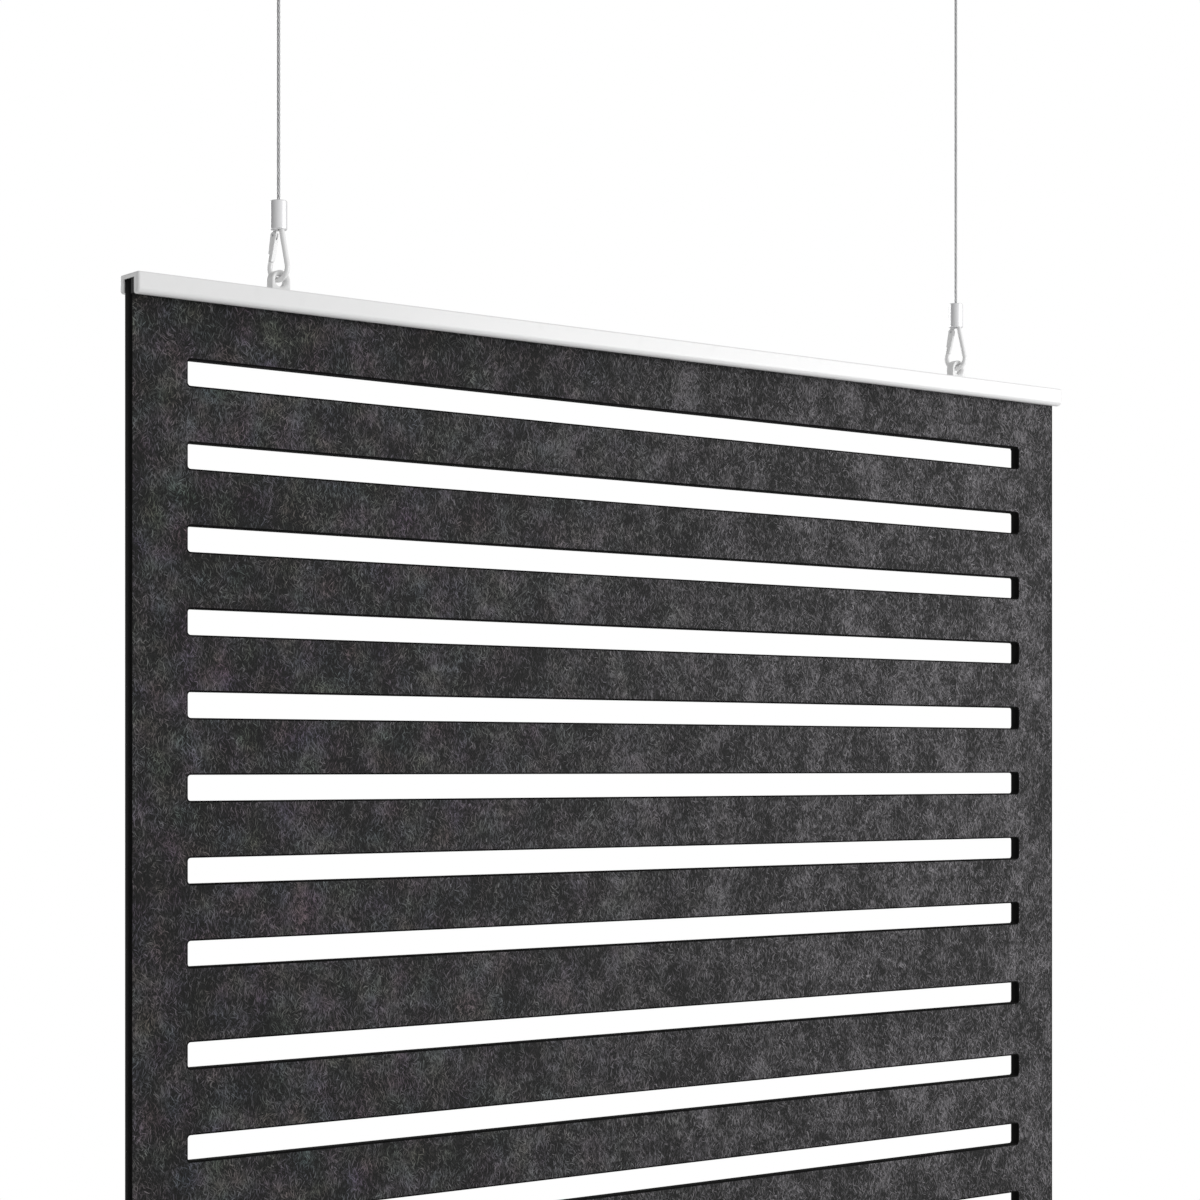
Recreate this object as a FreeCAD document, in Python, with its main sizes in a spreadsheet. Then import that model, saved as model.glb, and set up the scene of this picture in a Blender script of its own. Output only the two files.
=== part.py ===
import FreeCAD, Part
import os

import Sketcher
from FreeCAD import Placement, Rotation, Vector

# A slotted felt screen that hangs from the ceiling on two wire ropes.
# Z is up and zero at the ceiling, X runs along the screen, and the front is at -Y.
# The origin lies midway between the two ceiling fittings.

# Driving sizes in millimetres, angles in degrees and counts
SIZES = {
    # Layout
    "rope_spacing": 890,
    "rail_drop": 480,
    "hang_offset": 1.1,
    "overrun": 2,
    # Felt panel
    "panel_width": 1200,
    "panel_thickness": 12,
    "top_band": 67,
    "bottom_band": 56.5,
    "side_margin": 57.5,
    "slot_height": 23.5,
    "slot_corner": 3,
    "upper_pitch": 75,
    "upper_slot_count": 8,
    "middle_step": 91.5,
    "lower_step": 84,
    "lower_pitch": 79,
    "lower_slot_count": 13,
    "notch_width": 24,
    "notch_depth": 9,
    # Rail
    "rail_overhang": 1,
    "web_thickness": 4.3,
    "flange_thickness": 7.4,
    "front_depth": 19.5,
    "rear_depth": 16.5,
    "rail_lip_radius": 5.5,
    "rail_edge_radius": 1.5,
    "rail_end_radius": 2.5,
    "top_gap": 0.2,
    "strip_thickness": 7.2,
    "strip_height": 13.6,
    "strip_taper": 1.4,
    # Screws through the rear flange, the felt and the strip
    "screw_count": 5,
    "screw_pitch": 240,
    "screw_radius": 2,
    "screw_head_radius": 3.9,
    "screw_length": 31,
    "screw_drop": 10.5,
    "screw_gap": 0.1,
    "screw_socket_width": 2.5,
    "screw_socket_depth": 1.5,
    # Eye lug, its stud, washer and nut
    "lug_width": 20,
    "lug_depth": 10,
    "eye_height": 10.5,
    "eye_radius": 5,
    "eye_rounding": 3.6,
    "lug_edge_radius": 1.2,
    "stud_radius": 3,
    "stud_length": 11.4,
    "stud_gap": 0.2,
    "thread_gap": 0.05,
    "washer_radius": 6,
    "washer_thickness": 1.2,
    "nut_width": 10,
    "nut_thickness": 5,
    # Snap hook
    "rod_diameter": 5,
    "bow_radius": 11,
    "lean_angle": 12,
    "bend_radius": 20,
    "strand_offset": 4,
    "hook_reach": 35.2,
    "arch_rise": 9,
    "stub_gap": 1,
    "nose_height": 13,
    "nose_shoulder": 5.6,
    "nose_thickness": 2.2,
    "hook_clearance": 1.1,
    "left_hook_angle": 16,
    "right_hook_angle": 20,
    # Gate, its pin and its spring
    "pin_offset": 5,
    "pin_height": 30.4,
    "pin_radius": 0.9,
    "pin_fit": 0.02,
    "pin_play": 0.05,
    "gate_thickness": 5,
    "gate_head_radius": 3.3,
    "gate_tip_thickness": 2.8,
    "gate_waist_width": 5.6,
    "gate_gap": 0.15,
    "gate_tip_gap": 0.8,
    "gate_edge_radius": 0.5,
    "tongue_thickness": 2,
    "tongue_radius": 2.5,
    "tongue_play": 0.15,
    "fork_depth": 4,
    "spring_radius": 1,
    "spring_wall": 0.35,
    "spring_length": 6,
    "spring_gap": 0.1,
    # Ferrule
    "ferrule_radius": 8,
    "ferrule_length": 27,
    "ferrule_edge_radius": 1.2,
    "ferrule_play": 0.1,
    "crown_gap": 0.5,
    # Wire rope and the flared mouths that let it swing
    "rope_radius": 1.6,
    "rope_play": 0.1,
    "rope_end_gap": 0.3,
    "flare_angle": 15,
    "socket_depth": 3,
    # Ball stop on the rope's upper end
    "ball_radius": 4.5,
    "ball_drop": 18,
    "ball_play": 0.1,
    # Ceiling fitting
    "flange_radius": 15,
    "base_thickness": 3,
    "spigot_radius": 9,
    "spigot_length": 8,
    "bolt_radius": 2.75,
    "countersink_radius": 5.5,
    "cap_radius": 12,
    "cap_floor": 10,
    "cap_gap": 0.1,
    "cap_edge_radius": 2,
    "throat_radius": 2.9,
    "seat_top": 1,
}

# Lengths that follow from the driving sizes
DERIVED = {
    "rail_length": "panel_width + 2 * rail_overhang",
    "slot_length": "panel_width - 2 * side_margin",
    "upper_span": "(upper_slot_count - 1) * upper_pitch",
    "lower_span": "(lower_slot_count - 1) * lower_pitch",
    "panel_height": "top_band + upper_span + middle_step + lower_step + lower_span"
                    " + slot_height + bottom_band",
    "panel_drop": "web_thickness + top_gap",
    "rear_inner": "hang_offset + panel_thickness / 2",
    "rear_outer": "rear_inner + flange_thickness",
    "strip_rear": "hang_offset - panel_thickness / 2",
    "strip_front": "strip_rear - strip_thickness",
    "front_outer": "strip_front - flange_thickness",
    "screw_span": "(screw_count - 1) * screw_pitch",
    "bow_height": "eye_height + eye_radius - hook_clearance + bow_radius - rod_diameter / 2",
    "ferrule_height": "bow_height + hook_reach",
    "rope_foot": "ferrule_height + ferrule_length - socket_depth",
    "rope_length": "rail_drop - ball_drop - rope_foot",
    "socket_radius": "rope_radius + rope_play",
    "pocket_depth": "arch_rise + strand_offset + rod_diameter / 2 + crown_gap",
    "nose_face": "bow_radius + rod_diameter / 2 - nose_thickness",
    "seat_reach": "sqrt(2) * (ball_radius + ball_play)",
    "throat_depth": "seat_reach - throat_radius",
    "thread_bore": "spigot_radius + thread_gap",
}

SIDES = {"left": -1, "right": 1}

doc = FreeCAD.newDocument("felt_screen")
sheet = doc.addObject("Spreadsheet::Sheet", "Sizes")


def fill_sheet():
    """Write every driving and derived size into the sheet under its own alias."""
    rows = {name: str(value) for name, value in SIZES.items()}
    rows.update({name: "=" + formula for name, formula in DERIVED.items()})
    for row, (name, text) in enumerate(rows.items(), start=1):
        sheet.set(f"A{row}", name)
        sheet.set(f"B{row}", text)
        sheet.setAlias(f"B{row}", name)
    doc.recompute()


def of_sizes(formula):
    """The same formula with each size's name pointing at the sheet."""
    words = []
    word = ""
    for letter in formula + " ":
        if letter.isalnum() or letter == "_":
            word += letter
            continue
        words.append("Sizes." + word if word in SIZES or word in DERIVED else word)
        words.append(letter)
        word = ""
    return "".join(words).strip()


def amount(formula):
    """The present value of a formula of sizes."""
    result = sheet.evalExpression(of_sizes(formula))
    return float(getattr(result, "Value", result))


def bind(item, path, formula):
    """Tie a property to a formula of sizes."""
    item.setExpression(path, of_sizes(formula))


def new_body(name, x="0", y="0", z="0", turn=None):
    """An empty body at a place given by formulas, turned about an axis if asked."""
    body = doc.addObject("PartDesign::Body", name)
    body.Label = name
    body.AllowCompound = True
    if turn:
        axis, angle = turn
        body.Placement = Placement(Vector(), Rotation(axis, amount(angle)))
        bind(body, "Placement.Rotation.Angle", f"({angle}) * 1 deg")
    for letter, formula in zip("xyz", (x, y, z)):
        bind(body, f"Placement.Base.{letter}", formula)
    return body


def origin_part(body, role):
    """One of the body's own origin planes or axes."""
    return next(part for part in body.Origin.OriginFeatures if part.Role == role)


def new_sketch(body, plane, across="0", up="0", out="0"):
    """A sketch on an origin plane, moved within and off the plane by formulas."""
    sketch = body.newObject("Sketcher::SketchObject", body.Name + "_sketch")
    sketch.AttachmentSupport = [(origin_part(body, plane), "")]
    sketch.MapMode = "FlatFace"
    for letter, formula in zip("xyz", (across, up, out)):
        bind(sketch, f"AttachmentOffset.Base.{letter}", formula)
    return sketch


def hold(sketch, kind, *parts, formula):
    """Add a dimension whose value is a formula."""
    value = sheet.evalExpression(of_sizes(formula))
    index = sketch.addConstraint(Sketcher.Constraint(kind, *parts, value))
    bind(sketch, f"Constraints[{index}]", formula)


def pin_point(sketch, curve, end, x, y):
    """Hold a curve's end at two formulas from the sketch's origin."""
    for kind, axis, formula in (("DistanceX", -2, x), ("DistanceY", -1, y)):
        if formula == "0":
            sketch.addConstraint(Sketcher.Constraint("PointOnObject", curve, end, axis))
        else:
            hold(sketch, kind, -1, 1, curve, end, formula=formula)


def outline(sketch, points):
    """A closed outline of straight lines through points given as pairs of formulas."""
    corners = [Vector(amount(x), amount(y), 0) for x, y in points]
    first = sketch.GeometryCount
    last = len(points) - 1
    for index, corner in enumerate(corners):
        sketch.addGeometry(Part.LineSegment(corner, corners[(index + 1) % len(corners)]))
    for index in range(len(points)):
        after = first + (index + 1 if index < last else 0)
        sketch.addConstraint(Sketcher.Constraint("Coincident", first + index, 2, after, 1))
    for index, (x, y) in enumerate(points):
        pin_point(sketch, first + index, 1, x, y)
    return sketch


def rectangle(sketch, left, right, low, high):
    """A closed rectangle between four formulas."""
    return outline(sketch, [(left, low), (right, low), (right, high), (left, high)])


def circle(sketch, radius, x="0", y="0"):
    """A circle with its centre and radius given by formulas."""
    centre = Vector(amount(x), amount(y), 0)
    curve = sketch.addGeometry(Part.Circle(centre, Vector(0, 0, 1), amount(radius)))
    pin_point(sketch, curve, 3, x, y)
    hold(sketch, "Radius", curve, formula=radius)
    return sketch


def hexagon(sketch, width):
    """A hexagon of this width across its flats, about the sketch's origin."""
    corner = f"({width}) / sqrt(3)"
    half = f"({width}) / 2"
    return outline(sketch, [
        (corner, "0"),
        (f"{corner} / 2", half),
        (f"-{corner} / 2", half),
        (f"-{corner}", "0"),
        (f"-{corner} / 2", f"-{half}"),
        (f"{corner} / 2", f"-{half}"),
    ])


def rounded_rectangle(sketch, width, height, radius):
    """A rectangle about the sketch's origin with four equal round corners."""
    size = amount(radius)
    across = amount(width) / 2 - size
    up = amount(height) / 2 - size
    arcs = []
    for right, high in ((1, -1), (1, 1), (-1, 1), (-1, -1)):
        centre = Vector(right * across, high * up, 0)
        beside = Vector(right * size, 0, 0)
        above = Vector(0, high * size, 0)
        ends = (above, beside) if right * high < 0 else (beside, above)
        middle = (beside + above).normalize() * size
        arcs.append(sketch.addGeometry(Part.Arc(centre + ends[0], centre + middle, centre + ends[1])))
    for index, arc in enumerate(arcs):
        after = arcs[(index + 1) % len(arcs)]
        begin = sketch.getPoint(arc, 2)
        finish = sketch.getPoint(after, 1)
        line = sketch.addGeometry(Part.LineSegment(begin, finish))
        sketch.addConstraint(Sketcher.Constraint("Tangent", arc, 2, line, 1))
        sketch.addConstraint(Sketcher.Constraint("Tangent", line, 2, after, 1))
        sketch.addConstraint(Sketcher.Constraint("Horizontal" if index % 2 else "Vertical", line))
    for arc in arcs[1:]:
        sketch.addConstraint(Sketcher.Constraint("Equal", arcs[0], arc))
    hold(sketch, "Radius", arcs[0], formula=radius)
    pin_point(sketch, arcs[0], 3, f"{width} / 2 - {radius}", f"{radius} - {height} / 2")
    pin_point(sketch, arcs[2], 3, f"{radius} - {width} / 2", f"{height} / 2 - {radius}")
    return sketch


def pad(body, sketch, length, both_sides=False, reverse=False):
    """Thicken a sketch into the body."""
    feature = body.newObject("PartDesign::Pad", body.Name + "_pad")
    feature.Profile = sketch
    feature.Reversed = reverse
    feature.SideType = "Symmetric" if both_sides else "One side"
    bind(feature, "Length", length)
    doc.recompute()
    return feature


def checked_cut(body, feature, before):
    """Stop if a cut took nothing away."""
    doc.recompute()
    if body.Shape.Volume >= before:
        raise RuntimeError(f"{feature.Name} cuts nothing")
    return feature


def pocket(body, sketch, length, both_sides=False, reverse=False):
    """Cut a sketch out of the body."""
    before = body.Shape.Volume
    feature = body.newObject("PartDesign::Pocket", body.Name + "_pocket")
    feature.Profile = sketch
    feature.Reversed = reverse
    feature.SideType = "Symmetric" if both_sides else "One side"
    bind(feature, "Length", length)
    return checked_cut(body, feature, before)


def turned(body, points):
    """A full turn of an outline about the sketch's upright axis."""
    sketch = outline(new_sketch(body, "XZ_Plane"), points)
    feature = body.newObject("PartDesign::Revolution", body.Name + "_turned")
    feature.Profile = sketch
    feature.ReferenceAxis = (sketch, ["V_Axis"])
    doc.recompute()
    return feature


def primitive(body, kind, z="0", x="0", **sizes):
    """A PartDesign primitive such as AdditiveSphere or SubtractiveCylinder."""
    cutting = kind.startswith("Subtractive")
    before = body.Shape.Volume if cutting else 0
    feature = body.newObject("PartDesign::" + kind, body.Name + "_" + kind.lower())
    for name, formula in sizes.items():
        bind(feature, name, formula)
    bind(feature, "Placement.Base.x", x)
    bind(feature, "Placement.Base.z", z)
    doc.recompute()
    return checked_cut(body, feature, before) if cutting else feature


def row_of(body, features, axis, count, pitch, reverse=False):
    """Repeat features along one of the body's axes."""
    feature = body.newObject("PartDesign::LinearPattern", body.Name + "_row")
    feature.Originals = features
    feature.Direction = (origin_part(body, axis), [""])
    feature.Reversed = reverse
    feature.Mode = "Spacing"
    bind(feature, "Offset", pitch)
    bind(feature, "Occurrences", count)
    body.Tip = feature
    doc.recompute()
    return feature


def soften(body, radius, wanted):
    """Round the edges of the body that pass a test."""
    base = body.Tip
    names = [f"Edge{number}" for number, edge in enumerate(base.Shape.Edges, start=1) if wanted(edge)]
    if not names:
        raise RuntimeError(f"{body.Name} has no such edge")
    feature = body.newObject("PartDesign::Fillet", body.Name + "_soft")
    feature.Base = (base, names)
    bind(feature, "Radius", radius)
    doc.recompute()
    return feature


def near(value, formula):
    """Whether a measured value equals a formula."""
    return abs(value - amount(formula)) < amount("overrun") / 1000


def is_ring(edge, radius, z=None):
    """Whether an edge is part of a circle of this radius, at this height if one is given."""
    if edge.Curve.TypeId != "Part::GeomCircle" or not near(edge.Curve.Radius, radius):
        return False
    return z is None or near(edge.Curve.Center.z, z)


def make_ceiling_base(side):
    """The disc screwed to the ceiling, with the spigot that the cap screws on."""
    foot = "(base_thickness + spigot_length)"
    body = new_body(f"ceiling_base_{side}", x=f"{SIDES[side]} * rope_spacing / 2")
    turned(body, [
        ("bolt_radius", "0"),
        ("flange_radius", "0"),
        ("flange_radius", "-base_thickness"),
        ("spigot_radius", "-base_thickness"),
        ("spigot_radius", f"-{foot}"),
        ("countersink_radius", f"-{foot}"),
        ("bolt_radius", f"countersink_radius - bolt_radius - {foot}"),
    ])


def make_ceiling_cap(side):
    """The turned cap whose conical seat holds the ball stop over a flared mouth."""
    body = new_body(f"ceiling_cap_{side}", x=f"{SIDES[side]} * rope_spacing / 2", z="-ball_drop")
    top = "ball_drop - base_thickness - cap_gap"
    turned(body, [
        ("throat_radius", "-throat_depth"),
        ("seat_reach - seat_top", "-seat_top"),
        ("thread_bore", "-seat_top"),
        ("thread_bore", top),
        ("cap_radius", top),
        ("cap_radius", "-cap_floor"),
        ("throat_radius + (cap_floor - throat_depth) * tan(flare_angle * 1 deg)", "-cap_floor"),
    ])
    soften(body, "cap_edge_radius", lambda edge: is_ring(edge, "cap_radius", "-cap_floor"))


def make_rope_stop(side):
    """The ball on the rope's end, with the socket that the rope enters from below."""
    body = new_body(f"rope_stop_{side}", x=f"{SIDES[side]} * rope_spacing / 2", z="-ball_drop")
    primitive(body, "AdditiveSphere", Radius="ball_radius")
    depth = "(ball_radius + overrun)"
    primitive(
        body, "SubtractiveCone", z=f"-{depth}",
        Radius1=f"socket_radius + ({depth} + rope_end_gap) * tan(flare_angle * 1 deg)",
        Radius2="socket_radius",
        Height=f"{depth} + rope_end_gap",
    )


def make_wire_rope(side):
    """The taut rope from the ball's centre to the ferrule's mouth."""
    body = new_body(f"wire_rope_{side}", x=f"{SIDES[side]} * rope_spacing / 2", z="-ball_drop")
    pad(body, circle(new_sketch(body, "XY_Plane"), "rope_radius"), "rope_length", reverse=True)


def make_ferrule(side):
    """The sleeve that joins the rope to the snap hook."""
    body = new_body(
        f"ferrule_{side}", x=f"{SIDES[side]} * rope_spacing / 2", z="ferrule_height - rail_drop",
        turn=(Vector(0, 0, 1), f"{side}_hook_angle - 90"),
    )
    floor = "ferrule_length - socket_depth - rope_end_gap"
    turned(body, [
        ("0", "0"),
        ("ferrule_radius", "0"),
        ("ferrule_radius", "ferrule_length"),
        ("socket_radius + socket_depth * tan(flare_angle * 1 deg)", "ferrule_length"),
        ("socket_radius", floor),
        ("0", floor),
    ])
    soften(body, "ferrule_edge_radius", lambda edge: is_ring(edge, "ferrule_radius"))
    reach = "rod_diameter / 2 + ferrule_play"
    for way in ("-", ""):
        primitive(
            body, "SubtractiveCylinder", x=f"{way}strand_offset", z="-overrun",
            Radius=reach, Height="pocket_depth + overrun",
        )
    sketch = rectangle(
        new_sketch(body, "XY_Plane"), "-strand_offset", "strand_offset", f"-({reach})", reach,
    )
    pocket(body, sketch, "pocket_depth", reverse=True)


def hook_body(name, side):
    """An empty body in the hook's own frame, about the centre of its bow."""
    return new_body(
        name, x=f"{SIDES[side]} * rope_spacing / 2", z="bow_height - rail_drop",
        turn=(Vector(0, 0, 1), f"{side}_hook_angle - 90"),
    )


def leaning(distance, height):
    """Where a line at this distance from the bow's centre stands at a height, on the nose's side."""
    return f"-({distance} - ({height}) * sin(lean_angle * 1 deg)) / cos(lean_angle * 1 deg)"


def rod_path(body):
    """The rod's centre line: nose, bow, spine, bend, strand, crown and the short second strand."""
    sketch = new_sketch(body, "XZ_Plane")
    radius = amount("bow_radius")
    offset = amount("strand_offset")
    bend = amount("bend_radius")
    crown = amount("hook_reach + arch_rise")
    touch = Rotation(Vector(0, 0, 1), amount("lean_angle")).multVec(Vector(radius, 0, 0))
    slope = Vector(-touch.y, touch.x, 0) / radius
    meet = touch + slope * ((offset - touch.x) / slope.x)
    trim = bend * amount("tan(lean_angle * 0.5 deg)")
    low = meet - slope * trim
    high = meet + Vector(0, trim, 0)
    middle = high + Vector(bend, 0, 0) - Rotation(Vector(0, 0, 1), amount("lean_angle / 2")).multVec(
        Vector(bend, 0, 0))
    opposite = Vector(-touch.x, touch.y, 0)
    tip = opposite + Vector(-slope.x, slope.y, 0) * ((amount("nose_height") - touch.y) / slope.y)
    right = Vector(offset, crown, 0)
    left = Vector(-offset, crown, 0)
    nose, bow, spine, curve, strand, arch, stub = (sketch.addGeometry(shape) for shape in (
        Part.LineSegment(opposite, tip),
        Part.Arc(opposite, Vector(0, -radius, 0), touch),
        Part.LineSegment(touch, low),
        Part.Arc(high, middle, low),
        Part.LineSegment(high, right),
        Part.Arc(right, Vector(0, crown + offset, 0), left),
        Part.LineSegment(left, Vector(-offset, amount("hook_reach - stub_gap"), 0)),
    ))
    joints = [
        (nose, 1, bow, 1),
        (bow, 2, spine, 1),
        (spine, 2, curve, 2),
        (curve, 1, strand, 1),
        (strand, 2, arch, 1),
        (arch, 2, stub, 1),
    ]
    for joint in joints:
        sketch.addConstraint(Sketcher.Constraint("Tangent", *joint))
    sketch.addConstraint(Sketcher.Constraint("Coincident", bow, 3, -1, 1))
    sketch.addConstraint(Sketcher.Constraint("PointOnObject", arch, 3, -2))
    sketch.addConstraint(Sketcher.Constraint("Vertical", strand))
    sketch.addConstraint(Sketcher.Constraint("Vertical", stub))
    hold(sketch, "Radius", bow, formula="bow_radius")
    hold(sketch, "Radius", curve, formula="bend_radius")
    hold(sketch, "Radius", arch, formula="strand_offset")
    hold(sketch, "Angle", nose, formula="(90 - lean_angle) * 1 deg")
    hold(sketch, "Angle", spine, formula="(90 + lean_angle) * 1 deg")
    hold(sketch, "DistanceY", -1, 1, nose, 2, formula="nose_height")
    hold(sketch, "DistanceY", -1, 1, arch, 3, formula="hook_reach + arch_rise")
    hold(sketch, "DistanceY", -1, 1, stub, 2, formula="hook_reach - stub_gap")
    return sketch


def make_hook_body(side):
    """The bent rod of the snap hook, with its flattened nose and the tongue for the gate."""
    body = hook_body(f"hook_body_{side}", side)
    path = rod_path(body)
    profile = new_sketch(body, "XY_Plane", across="-strand_offset", out="hook_reach - stub_gap")
    rod = body.newObject("PartDesign::AdditivePipe", body.Name + "_rod")
    rod.Profile = circle(profile, "rod_diameter / 2")
    rod.Spine = path
    doc.recompute()
    root = "hook_reach - stub_gap + rod_diameter / 4"
    tongue = outline(new_sketch(body, "XZ_Plane"), [
        ("-pin_offset - tongue_radius", "pin_height"),
        ("-pin_offset + tongue_radius", "pin_height"),
        ("-strand_offset + rod_diameter / 2 - tongue_play", root),
        ("-strand_offset - rod_diameter / 2 + tongue_play", root),
    ])
    pad(body, tongue, "tongue_thickness", both_sides=True)
    knuckle = circle(new_sketch(body, "XZ_Plane"), "tongue_radius", "-pin_offset", "pin_height")
    pad(body, knuckle, "tongue_thickness", both_sides=True)
    bore = circle(new_sketch(body, "XZ_Plane"), "pin_radius + pin_fit", "-pin_offset", "pin_height")
    pocket(body, bore, "rod_diameter", both_sides=True)
    top = "nose_height + overrun"
    flat = outline(new_sketch(body, "XZ_Plane"), [
        (leaning("nose_face", "nose_shoulder"), "nose_shoulder"),
        ("0", "nose_shoulder"),
        ("0", top),
        (leaning("nose_face", top), top),
    ])
    pocket(body, flat, "rod_diameter + overrun", both_sides=True)


def make_hook_gate(side):
    """The gate: a bar that turns on its pin and shuts against the nose from inside."""
    body = hook_body(f"hook_gate_{side}", side)
    step = "nose_height + gate_tip_gap"
    foot = "nose_shoulder + gate_tip_gap"
    face = "(nose_face - gate_gap)"
    outer = leaning("(bow_radius + rod_diameter / 2)", step)
    bar = outline(new_sketch(body, "XZ_Plane"), [
        ("-pin_offset - gate_head_radius", "pin_height"),
        (outer, step),
        (leaning(face, step), step),
        (leaning(face, foot), foot),
        (leaning(face, foot) + " + gate_tip_thickness", foot),
        (outer + " + gate_waist_width", step),
        ("-pin_offset + gate_head_radius", "pin_height"),
    ])
    pad(body, bar, "gate_thickness", both_sides=True)
    head = circle(new_sketch(body, "XZ_Plane"), "gate_head_radius", "-pin_offset", "pin_height")
    pad(body, head, "gate_thickness", both_sides=True)
    soften(body, "gate_edge_radius", lambda edge: near(abs(edge.CenterOfMass.y), "gate_thickness / 2"))
    reach = "(gate_head_radius + overrun)"
    fork = rectangle(
        new_sketch(body, "XZ_Plane"), f"-pin_offset - {reach}", f"-pin_offset + {reach}",
        "pin_height - fork_depth", f"pin_height + {reach}",
    )
    pocket(body, fork, "tongue_thickness + 2 * tongue_play", both_sides=True)
    bore = circle(new_sketch(body, "XZ_Plane"), "pin_radius + pin_play", "-pin_offset", "pin_height")
    pocket(body, bore, "gate_thickness + overrun", both_sides=True)
    floor = "(pin_height - tongue_radius - 2 * spring_gap - spring_length)"
    primitive(
        body, "SubtractiveCylinder", x="-pin_offset", z=floor,
        Radius="spring_radius + spring_gap", Height=f"pin_height - tongue_radius - {floor}",
    )


def make_gate_pin(side):
    """The pin through the fork of the gate and the tongue of the hook."""
    body = hook_body(f"gate_pin_{side}", side)
    pin = circle(new_sketch(body, "XZ_Plane"), "pin_radius", "-pin_offset", "pin_height")
    pad(body, pin, "gate_thickness", both_sides=True)


def make_gate_spring(side):
    """The sleeve that the gate's closed-in coil spring fills, up to the tongue."""
    body = hook_body(f"gate_spring_{side}", side)
    sketch = new_sketch(
        body, "XY_Plane", across="-pin_offset",
        out="pin_height - tongue_radius - spring_gap - spring_length",
    )
    circle(sketch, "spring_radius")
    circle(sketch, "spring_radius - spring_wall")
    pad(body, sketch, "spring_length")


def make_eye_lug(side):
    """The round-topped eye on the rail, with the stud that passes through the web."""
    body = new_body(f"eye_lug_{side}", x=f"{SIDES[side]} * rope_spacing / 2", z="-rail_drop")
    foot = rectangle(new_sketch(body, "XZ_Plane"), "-lug_width / 2", "lug_width / 2", "0", "eye_height")
    pad(body, foot, "lug_depth", both_sides=True)
    pad(body, circle(new_sketch(body, "XZ_Plane"), "lug_width / 2", "0", "eye_height"), "lug_depth",
        both_sides=True)
    eye = circle(new_sketch(body, "XZ_Plane"), "eye_radius", "0", "eye_height")
    pocket(body, eye, "lug_depth + overrun", both_sides=True)
    soften(body, "eye_rounding", lambda edge: is_ring(edge, "eye_radius"))
    soften(body, "lug_edge_radius", lambda edge: (
        near(abs(edge.CenterOfMass.y), "lug_depth / 2")
        and edge.BoundBox.ZMax > amount("lug_edge_radius")
        and not is_ring(edge, "eye_radius + eye_rounding")
    ))
    primitive(body, "AdditiveCylinder", z="-stud_length", Radius="stud_radius", Height="stud_length")


def make_lug_washers():
    """The two washers between the web and the nuts."""
    body = new_body("lug_washers", x="-rope_spacing / 2", z="-rail_drop - web_thickness")
    sketch = circle(new_sketch(body, "XY_Plane"), "washer_radius")
    circle(sketch, "stud_radius + stud_gap")
    ring = pad(body, sketch, "washer_thickness", reverse=True)
    row_of(body, [ring], "X_Axis", "2", "rope_spacing")


def make_lug_nuts():
    """The two hexagon nuts that pull the eye lugs down on the web."""
    body = new_body(
        "lug_nuts", x="-rope_spacing / 2", z="-rail_drop - web_thickness - washer_thickness",
    )
    sketch = hexagon(new_sketch(body, "XY_Plane"), "nut_width")
    circle(sketch, "stud_radius + thread_gap")
    nut = pad(body, sketch, "nut_thickness", reverse=True)
    row_of(body, [nut], "X_Axis", "2", "rope_spacing")


def make_rail():
    """The inverted channel that grips the felt, with its rounded edges and its holes."""
    body = new_body("rail", z="-rail_drop")
    section = outline(new_sketch(body, "YZ_Plane"), [
        ("front_outer", "0"),
        ("front_outer", "-front_depth"),
        ("strip_front", "-front_depth"),
        ("strip_front", "-web_thickness"),
        ("rear_inner", "-web_thickness"),
        ("rear_inner", "-rear_depth"),
        ("rear_outer", "-rear_depth"),
        ("rear_outer", "0"),
    ])
    pad(body, section, "rail_length", both_sides=True)

    def upright(edge):
        box = edge.BoundBox
        outside = near(box.YMin, "front_outer") or near(box.YMin, "rear_outer")
        return outside and box.YLength + box.XLength < amount("overrun") / 100

    def level(edge, height):
        box = edge.BoundBox
        return near(box.ZMin, height) and near(box.ZMax, height)

    soften(body, "rail_lip_radius", lambda edge: (
        level(edge, "-front_depth") and near(edge.BoundBox.YMax, "front_outer")
    ))
    soften(body, "rail_end_radius", upright)
    soften(body, "rail_edge_radius", lambda edge: level(edge, "0"))
    soften(body, "rail_edge_radius", lambda edge: level(edge, "-rear_depth"))
    for side in SIDES.values():
        hole = circle(
            new_sketch(body, "XY_Plane", across=f"{side} * rope_spacing / 2"), "stud_radius + stud_gap",
        )
        pocket(body, hole, "web_thickness + overrun")
    bore = "screw_radius + screw_gap"
    mouth = "screw_head_radius"
    seat = outline(
        new_sketch(body, "YZ_Plane", up="-screw_drop", out="-screw_span / 2"), [
            ("rear_outer + overrun", "0"),
            ("rear_outer + overrun", mouth),
            ("rear_outer", mouth),
            (f"rear_outer - screw_head_radius + {bore}", bore),
            ("rear_outer - screw_length - screw_gap", bore),
            ("rear_outer - screw_length - screw_gap", "0"),
        ],
    )
    before = body.Shape.Volume
    groove = body.newObject("PartDesign::Groove", "rail_screw_seat")
    groove.Profile = seat
    groove.ReferenceAxis = (seat, ["H_Axis"])
    checked_cut(body, groove, before)
    row_of(body, [groove], "X_Axis", "screw_count", "screw_pitch")


def screw_holes(body):
    """The row of clearance holes that the felt screws pass through."""
    row = new_sketch(body, "XZ_Plane", across="-screw_span / 2", up="panel_drop - screw_drop")
    hole = circle(row, "screw_radius + screw_gap")
    cut = pocket(body, hole, "panel_thickness + 2 * strip_thickness + overrun", both_sides=True)
    row_of(body, [cut], "X_Axis", "screw_count", "screw_pitch")


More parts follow.
